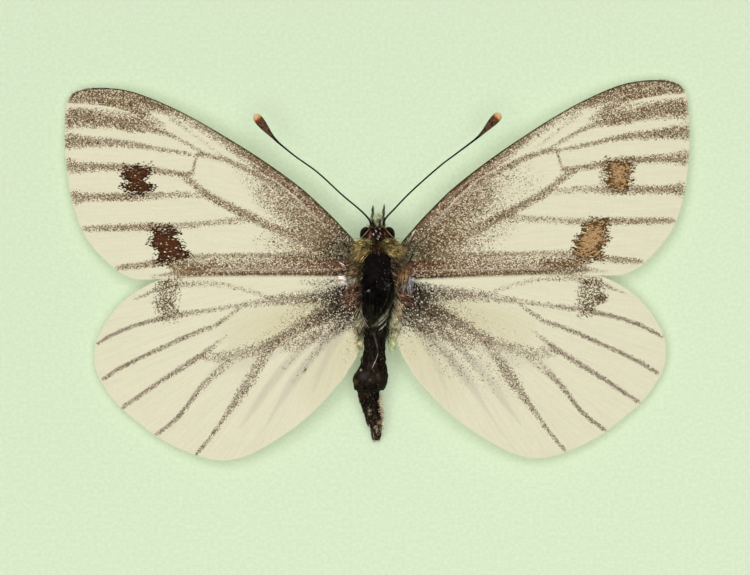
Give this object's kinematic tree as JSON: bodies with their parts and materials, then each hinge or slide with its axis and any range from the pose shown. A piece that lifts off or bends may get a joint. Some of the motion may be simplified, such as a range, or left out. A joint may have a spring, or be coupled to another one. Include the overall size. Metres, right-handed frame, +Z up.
{
  "type": "spread butterfly specimen",
  "caption": "Dried white butterfly with dusky veins, set with its wings spread flat, lying upper side up on its folded legs.",
  "frame": {"origin": "on the surface that the feet and the abdomen's tip touch, under the middle of the wingspan and of the length from forewing to hindwing", "axes": "+X along the wingspan to the right forewing as seen from above with the head away, +Y towards the head, +Z up through the wings' upper side"},
  "size_m": [0.044, 0.0268, 0.0043],
  "materials": {
    "wing": "matte",
    "fur": "matte",
    "cuticle": "satin",
    "eye": "satin",
    "antenna": "satin",
    "leg": "satin"
  },
  "bodies": {
    "root": {"head": "fur", "left_eye": "eye", "right_eye": "eye", "left_palp": "fur", "right_palp": "fur", "proboscis": "antenna", "left_antenna": "antenna", "right_antenna": "antenna", "thorax": "fur", "abdomen": "cuticle", "left_forewing": "wing", "right_forewing": "wing", "left_hindwing": "wing", "right_hindwing": "wing", "left_front_leg": "leg", "right_front_leg": "leg", "left_middle_leg": "leg", "right_middle_leg": "leg", "left_hind_leg": "leg", "right_hind_leg": "leg"}
  },
  "joints": []
}
